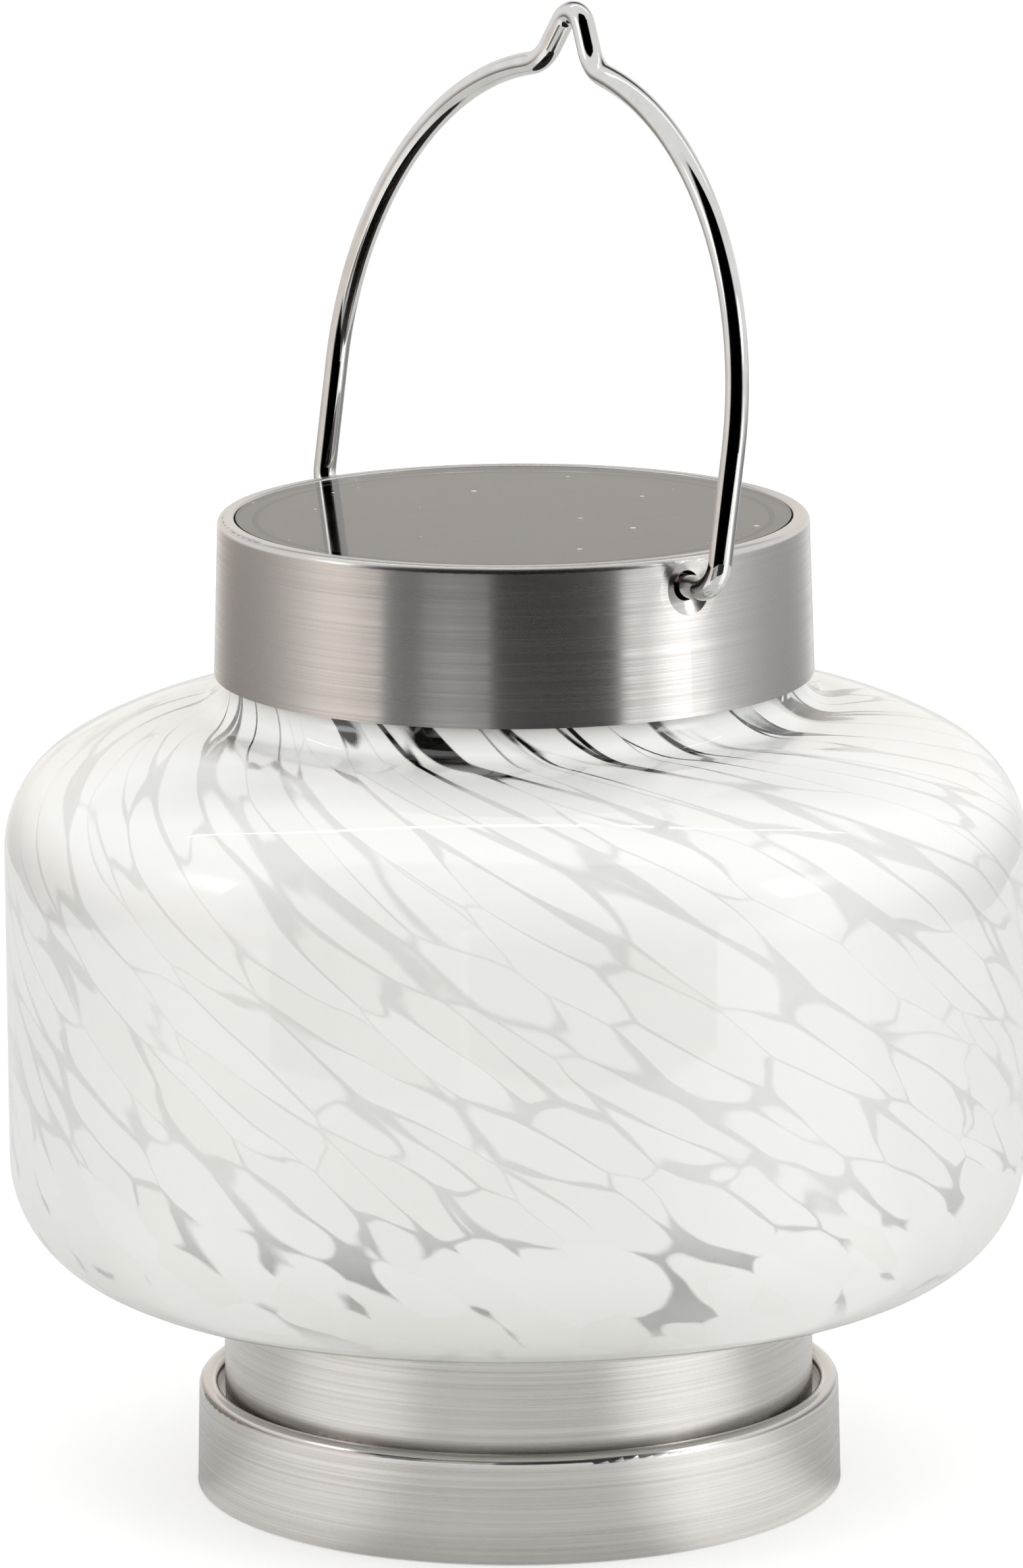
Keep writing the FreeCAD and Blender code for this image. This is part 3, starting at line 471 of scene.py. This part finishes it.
def shade_outline(bm):
    """Draws the closed outline, and returns how many of its points are on the outside."""
    low = shoulder_middle(BAND_LOW, LOW_CORNER, LOW_TURN, LOW_SHOULDER, -1)
    high = shoulder_middle(BAND_HIGH, HIGH_CORNER, HIGH_TURN, HIGH_SHOULDER, 1)
    foot = fillet_middle(low, LOW_SHOULDER, FOOT_RADIUS, FOOT_FILLET, -1)
    bead = fillet_middle(high, HIGH_SHOULDER, BEAD_RADIUS, BEAD_FILLET, 1)
    foot_inside = FOOT_RADIUS - GLASS_WALL
    neck_inside = NECK_RADIUS - GLASS_WALL
    foot_in = fillet_middle(low, LOW_SHOULDER - GLASS_WALL, foot_inside, FOOT_FILLET + GLASS_WALL, -1)
    neck_in = fillet_middle(high, HIGH_SHOULDER - GLASS_WALL, neck_inside, NECK_FILLET, 1)
    bead_top = bead[1] + BEAD_HEIGHT
    tip = start = pen_start(bm, FOOT_RADIUS, GLASS_FOOT)
    tip = pen_line(bm, tip, FOOT_RADIUS, foot[1])
    tip = pen_arc(bm, tip, foot[0], foot[1], foot[2], 8)
    tip = pen_arc(bm, tip, *low, -LOW_TURN - foot[2], 14)
    tip = pen_arc(bm, tip, GLASS_RADIUS - LOW_CORNER, BAND_LOW, LOW_TURN, 16)
    for share in range(1, 13):
        tip = pen_line(bm, tip, GLASS_RADIUS, BAND_LOW + (BAND_HIGH - BAND_LOW) * share / 12)
    tip = pen_arc(bm, tip, GLASS_RADIUS - HIGH_CORNER, BAND_HIGH, HIGH_TURN, 14)
    tip = pen_arc(bm, tip, *high, bead[2] - HIGH_TURN, 14)
    tip = pen_arc(bm, tip, bead[0], bead[1], -bead[2], 10)
    tip = pen_line(bm, tip, BEAD_RADIUS, bead_top - BEAD_EDGE)
    tip = pen_arc(bm, tip, BEAD_RADIUS - BEAD_EDGE, bead_top - BEAD_EDGE, 90.0, 4)
    tip = pen_line(bm, tip, NECK_RADIUS, bead_top)
    tip = pen_line(bm, tip, NECK_RADIUS, NECK_TOP)
    outside = len(bm.verts)
    tip = pen_line(bm, tip, neck_inside, NECK_TOP)
    tip = pen_line(bm, tip, neck_inside, neck_in[1])
    tip = pen_arc(bm, tip, neck_in[0], neck_in[1], neck_in[2], 8)
    tip = pen_arc(bm, tip, *high, HIGH_TURN - neck_in[2], 10)
    tip = pen_arc(bm, tip, GLASS_RADIUS - HIGH_CORNER, BAND_HIGH, -HIGH_TURN, 10)
    tip = pen_line(bm, tip, GLASS_RADIUS - GLASS_WALL, BAND_LOW)
    tip = pen_arc(bm, tip, GLASS_RADIUS - LOW_CORNER, BAND_LOW, -LOW_TURN, 12)
    tip = pen_arc(bm, tip, *low, foot_in[2] + LOW_TURN, 10)
    tip = pen_arc(bm, tip, foot_in[0], foot_in[1], -foot_in[2], 8)
    tip = pen_line(bm, tip, foot_inside, GLASS_FOOT)
    bm.edges.new((tip, start))
    return outside


CHIP_TURN = 215.0
# Share of the way from foot to neck, sideways lean of a streak per unit of height, and its squeeze
SWIRL = ((0.0, 0.3, 1.5), (0.24, 0.45, 1.5), (0.36, 1.05, 1.0), (0.50, 1.33, 0.68), (0.64, 1.33, 0.50),
         (0.74, 1.15, 0.42), (0.88, 1.0, 0.30), (1.0, 0.8, 0.25))


def swirl_at(share):
    for (a, lean_a, squeeze_a), (b, lean_b, squeeze_b) in zip(SWIRL, SWIRL[1:]):
        if share <= b:
            mix = (share - a) / (b - a)
            return lean_a + (lean_b - lean_a) * mix, squeeze_a + (squeeze_b - squeeze_a) * mix
    return SWIRL[-1][1:]


def glass_shade():
    bm = bmesh.new()
    outside = shade_outline(bm)
    bm.verts.ensure_lookup_table()
    turn_layer = bm.verts.layers.float.new("turn")
    rise_layer = bm.verts.layers.float.new("rise")
    frit_layer = bm.verts.layers.float.new("frit")
    outline = bm.verts[:outside]
    steps = [(b.co - a.co).length / MM for a, b in zip(outline, outline[1:])]
    total = sum(steps)
    way = turn = rise = 0.0
    for vert, step in zip(outline, steps + [0.0]):
        vert[turn_layer] = turn
        vert[rise_layer] = rise
        vert[frit_layer] = 1.0
        lean, squeeze = swirl_at(way / total)
        turn -= lean * step / (vert.co.x / MM)
        rise += squeeze * step
        way += step
    lathe(bm, 256)
    flow_layer = bm.verts.layers.float_vector.new("chip_flow")
    for vert in bm.verts:
        angle = math.atan2(vert.co.y, vert.co.x) - vert[turn_layer] + math.radians(CHIP_TURN)
        flow = Vector((math.cos(angle), math.sin(angle), 0)) * GLASS_RADIUS
        flow.z = vert[rise_layer]
        vert[flow_layer] = flow
    print("outside of the wall is", round(total, 1), "mm long from foot to neck")
    make_piece("glass_bulb", bm, frit_glass_material, "vessel", "frit_glass", "glass_shade")


glass_shade()

# %% [markdown]
# Stainless steel sheet, spun to shape and brushed round and round with a fine belt. The brush leaves
# grooves along the turning, so a reflection stays sharp sideways and smears up and down: that is
# what anisotropy does. The grooves themselves are drawn as a noise stretched far round and packed
# tight in height. Real grooves are finer than a pixel, so they are drawn about 0.3 mm apart.
# The pressed dimples and the rolled edge were left bright, so a mask takes the brushing off there.

# %% Brushed steel
BRUSH_PITCH = 0.3
BRUSH_BAND = 1.4
BRUSH_LENGTH = 60.0
# Range of the streak noise that counts
STREAKS = (0.30, 0.70)


def stretched(tree, place, around, upright):
    """Coordinates for streaks that run far round and change fast in height."""
    return add(tree, "VectorMath", {0: place, 1: (per_mm(around), per_mm(around), per_mm(upright))},
               operation="MULTIPLY").outputs[0]


def brushed_steel(name, bright=None, polish=0.0):
    """Brushed stainless steel. A bright function gives the share that is polished, to that roughness."""
    material, tree, shader = start_material(name, Metallic=1.0, Anisotropic=0.75, Anisotropic_Rotation=0.25)
    place = add(tree, "TexCoord").outputs["Object"]
    hairs = stretched(tree, place, BRUSH_LENGTH, BRUSH_PITCH)
    bands = stretched(tree, place, 3 * BRUSH_LENGTH, BRUSH_BAND)
    fine = add(tree, "TexNoise", {"Vector": hairs, "Scale": 1.0, "Detail": 2.0}).outputs["Fac"]
    broad = add(tree, "TexNoise", {"Vector": bands, "Scale": 1.0, "Detail": 1.0}).outputs["Fac"]
    streaks = add(tree, "Mix", {"Factor": 0.25, "A": fine, "B": broad}).outputs["Result"]
    brush = 1.0
    if bright:
        keep = bright(tree, place)
        brush = add(tree, "Math", {0: 1.0, 1: keep}, operation="SUBTRACT").outputs[0]
    colour = add(tree, "MapRange", {"Value": streaks, **ramp(*STREAKS, 0.0, 1.0)})
    tint = add(tree, "Mix", {"Factor": colour.outputs[0], "A": linear("c4c0bd"), "B": linear("d8d6d4")},
               data_type="RGBA")
    tree.links.new(tint.outputs["Result"], shader.inputs["Base Color"])
    rough = add(tree, "MapRange", {"Value": streaks, **ramp(*STREAKS, 0.30, 0.22)})
    worn = add(tree, "Mix", {"Factor": brush, "A": polish, "B": rough.outputs[0]})
    tree.links.new(worn.outputs["Result"], shader.inputs["Roughness"])
    depth = add(tree, "Math", {0: brush, 1: 0.08}, operation="MULTIPLY").outputs[0]
    groove = add(tree, "Bump", {"Strength": depth, "Distance": 0.02 * MM, "Height": fine})
    tree.links.new(groove.outputs[0], shader.inputs["Normal"])
    return material


DIMPLE_RADIUS = 3.7
pivot_z = next(joint["pos_m"][2] for joint in frame["joints"] if joint["name"] == "bail_swing")


def in_dimples(tree, place):
    """Polished round each pivot hole: near the bail's axis, which runs along X."""
    reach = add(tree, "VectorMath", {0: place, 1: (0, 0, pivot_z)}, operation="SUBTRACT")
    flat = add(tree, "VectorMath", {0: reach.outputs[0], 1: (0, 1, 1)}, operation="MULTIPLY")
    away = add(tree, "VectorMath", {0: flat.outputs[0]}, operation="LENGTH")
    rim = ramp((DIMPLE_RADIUS + 0.1) * MM, (DIMPLE_RADIUS - 0.3) * MM, 0.0, 1.0)
    return add(tree, "MapRange", {"Value": away.outputs["Value"], **rim}).outputs[0]


drum_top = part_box("base_drum")[1].z
ROLL_HEIGHT = 1.2


def in_roll(tree, place):
    """Polished on the rolled top edge of the drum and in the groove behind it."""
    height = add(tree, "SeparateXYZ", {0: place}).outputs["Z"]
    roll = ramp(drum_top - (ROLL_HEIGHT + 0.3) * MM, drum_top - ROLL_HEIGHT * MM, 0.0, 1.0)
    return add(tree, "MapRange", {"Value": height, **roll}).outputs[0]


cap_steel = brushed_steel("brushed_steel_cap", in_dimples, 0.25)
drum_steel = brushed_steel("brushed_steel_drum", in_roll, 0.15)
collar_steel = brushed_steel("brushed_steel_collar")
print("brushed steel: grooves", BRUSH_PITCH, "mm apart and about", BRUSH_LENGTH, "mm long")

# %% [markdown]
# The bail is drawn steel wire, tumbled bright and plated. It is a mirror with a few faint draw lines,
# so its look comes from the set round it. Screws and nuts are the same metal with a duller zinc skin.

# %% Bright wire and fasteners
def bright_metal(name, dark, light, smooth, dull, grain):
    """Plain metal whose colour and roughness wander a little over a grain size in millimetres."""
    material, tree, shader = start_material(name, Metallic=1.0)
    place = add(tree, "TexCoord").outputs["Object"]
    wander = add(tree, "TexNoise", {"Vector": place, "Scale": per_mm(grain), "Detail": 3.0})
    tint = add(tree, "Mix", {"Factor": wander.outputs["Fac"], "A": linear(dark), "B": linear(light)},
               data_type="RGBA")
    tree.links.new(tint.outputs["Result"], shader.inputs["Base Color"])
    rough = add(tree, "MapRange", {"Value": wander.outputs["Fac"], "To Min": smooth, "To Max": dull})
    tree.links.new(rough.outputs[0], shader.inputs["Roughness"])
    return material


# Dark and light tone, smoothest and dullest roughness, and the size of the grain
bright_wire = bright_metal("bright_wire", "c8c8c6", "dededc", 0.03, 0.10, 2.5)
zinc_steel = bright_metal("zinc_plated_steel", "a8a9a6", "c9cac6", 0.22, 0.42, 0.8)
plated_brass = bright_metal("plated_brass", "b89a5a", "d9c184", 0.20, 0.36, 1.0)
print("bright metals ready")


# %% [markdown]
# The moulded and cast pieces: black ABS for the housing and the bottom cover, rubber for the pads and
# the panel's gasket, clear silicone for the seals. Moulded plastic has a fine spark-eroded grain that
# breaks up its gloss, so each of them carries a small bump and an uneven roughness.

# %% Moulded plastics and rubber
def moulded(name, dark, light, smooth, dull, grain, depth, **values):
    """Moulded or cast material with a fine grain, its size and depth in millimetres."""
    material, tree, shader = start_material(name, **values)
    place = add(tree, "TexCoord").outputs["Object"]
    texture = add(tree, "TexNoise", {"Vector": place, "Scale": per_mm(grain), "Detail": 2.0})
    flow = add(tree, "TexNoise", {"Vector": place, "Scale": per_mm(20 * grain), "Detail": 1.0})
    tint = add(tree, "Mix", {"Factor": flow.outputs["Fac"], "A": linear(dark), "B": linear(light)},
               data_type="RGBA")
    tree.links.new(tint.outputs["Result"], shader.inputs["Base Color"])
    rough = add(tree, "MapRange", {"Value": texture.outputs["Fac"], **ramp(0.3, 0.7, smooth, dull)})
    tree.links.new(rough.outputs[0], shader.inputs["Roughness"])
    grip = add(tree, "Bump", {"Strength": 0.4, "Distance": depth * MM, "Height": texture.outputs["Fac"]})
    tree.links.new(grip.outputs[0], shader.inputs["Normal"])
    return material


# Dark and light tone, smoothest and dullest roughness, and the size and depth of the grain
black_abs = moulded("black_abs", "131314", "1d1d1e", 0.35, 0.55, 0.35, 0.02)
black_rubber = moulded("black_rubber", "17171a", "222224", 0.60, 0.80, 0.25, 0.02)
clear_silicone = moulded("clear_silicone", "dfe2e0", "eceeed", 0.30, 0.45, 0.6, 0.02, IOR=1.41,
                         Transmission_Weight=0.55)
white_epoxy = moulded("led_epoxy", "f2f1e6", "fbfaf2", 0.10, 0.18, 0.5, 0.005, IOR=1.53,
                      Transmission_Weight=0.5)
frosted_lens = moulded("frosted_lens", "eef0ef", "f8f9f8", 0.40, 0.60, 0.3, 0.02, IOR=1.49,
                       Transmission_Weight=0.6)
green_laminate = moulded("board_laminate", "1c4f35", "286243", 0.28, 0.42, 0.5, 0.01)
battery_sleeve = moulded("battery_sleeve", "1f6b42", "2b7d50", 0.16, 0.30, 0.6, 0.01)
red_lead = moulded("red_pvc_lead", "a81c16", "bb2a20", 0.35, 0.50, 0.4, 0.01)
black_lead = moulded("black_pvc_lead", "161617", "232325", 0.35, 0.50, 0.4, 0.01)
print("moulded materials ready")

# %% [markdown]
# The panel: six dark silicon strips on a black board under a smoked acrylic disc, which closes the top
# of the cap. Seen at a low angle the disc is nearly a mirror, so it shows the white sky, and the
# legs of the bail stand reflected in it. From above it is dark: the disc is smoked, so the cells and
# their fine silver collector lines show only faintly. A few dust specks lie on the disc.

# %% Panel: clear cover and cells
FINGER_PITCH = 1.9
FINGER_WIDTH = 0.16
DUST_PITCH = 9.0
# Share of places that stay bare, and the largest speck as a share of the pitch
DUST_SHARE = 0.55
DUST_SIZE = 0.045


def clear_cover():
    material, tree, shader = start_material("clear_acrylic", IOR=1.345)
    place = add(tree, "TexCoord").outputs["Object"]
    dust = add(tree, "TexVoronoi", {"Vector": place, "Scale": per_mm(DUST_PITCH)}, voronoi_dimensions="2D")
    size = add(tree, "SeparateColor", {0: dust.outputs["Color"]}).outputs["Red"]
    limit = add(tree, "MapRange", {"Value": size, **ramp(DUST_SHARE, 1.0, 0.0, DUST_SIZE)}).outputs[0]
    speck = add(tree, "Math", {0: dust.outputs["Distance"], 1: limit}, operation="LESS_THAN").outputs[0]
    colour = add(tree, "Mix", {"Factor": speck, "A": linear("7c7269"), "B": linear("e4e1da")},
                 data_type="RGBA")
    tree.links.new(colour.outputs["Result"], shader.inputs["Base Color"])
    clear = add(tree, "MapRange", {"Value": speck, "To Min": 1.0, "To Max": 0.0})
    tree.links.new(clear.outputs[0], shader.inputs["Transmission Weight"])
    smear = add(tree, "TexNoise", {"Vector": place, "Scale": per_mm(14.0), "Detail": 2.0})
    rough = add(tree, "MapRange", {"Value": smear.outputs["Fac"], "To Min": 0.02, "To Max": 0.07})
    dusty = add(tree, "Mix", {"Factor": speck, "A": rough.outputs[0], "B": 0.8})
    tree.links.new(dusty.outputs["Result"], shader.inputs["Roughness"])
    return material


def solar_silicon():
    material, tree, shader = start_material("solar_silicon", Coat_Weight=0.6, Coat_Roughness=0.1)
    place = add(tree, "TexCoord").outputs["Object"]
    grain = add(tree, "TexVoronoi", {"Vector": place, "Scale": per_mm(2.6)})
    shade = add(tree, "SeparateColor", {0: grain.outputs["Color"]}).outputs["Red"]
    dark = add(tree, "Mix", {"Factor": shade, "A": linear("1c1715"), "B": linear("2a221e")},
               data_type="RGBA")
    along = add(tree, "SeparateXYZ", {0: place}).outputs["Y"]
    steps = add(tree, "Math", {0: along, 1: per_mm(FINGER_PITCH)}, operation="MULTIPLY").outputs[0]
    saw = add(tree, "Math", {0: steps}, operation="FRACT").outputs[0]
    wide = FINGER_WIDTH / FINGER_PITCH
    finger = add(tree, "Math", {0: saw, 1: wide}, operation="LESS_THAN").outputs[0]
    colour = add(tree, "Mix", {"Factor": finger, "A": dark.outputs["Result"], "B": linear("b0aca4")},
                 data_type="RGBA")
    tree.links.new(colour.outputs["Result"], shader.inputs["Base Color"])
    rough = add(tree, "MapRange", {"Value": shade, "To Min": 0.28, "To Max": 0.40})
    tree.links.new(rough.outputs[0], shader.inputs["Roughness"])
    return material


clear_acrylic = clear_cover()
silicon = solar_silicon()
print("panel: collector lines", FINGER_PITCH, "mm apart")

# %% [markdown]
# Now each construction piece that keeps its own shape gets its finish. They could be modelled again
# too, but their solids already have the shapes of the real ones, so only their materials change.

# %% Dress the frame's pieces
def dress(material, *names):
    for name in names:
        for material_slot in nodes[name].material_slots:
            material_slot.material = material


dress(cap_steel, "cap_shell")
dress(drum_steel, "base_drum")
dress(collar_steel, "base_collar")
dress(bright_wire, "bail_handle")
dress(zinc_steel, "base_screws", "base_nuts", "board_screws")
dress(black_abs, "neck_ring", "base_cover", "cap_liner", "panel_board", "lamp_housing", "switch_body",
      "switch_button", "battery_door")
dress(black_rubber, "foot_pads", "panel_gasket")
dress(clear_silicone, "seat_gasket", "lid_seal")
dress(clear_acrylic, "panel_cover")
dress(silicon, "solar_cells")
dress(green_laminate, "circuit_board")
dress(white_epoxy, "led_lamp")
dress(frosted_lens, "led_lens")
dress(battery_sleeve, "battery_cell")
dress(plated_brass, "battery_tab", "battery_leaf")
dress(red_lead, "panel_lead_red", "battery_lead_red")
dress(black_lead, "panel_lead_black", "battery_lead_black")
print("dressed", len(nodes), "pieces")
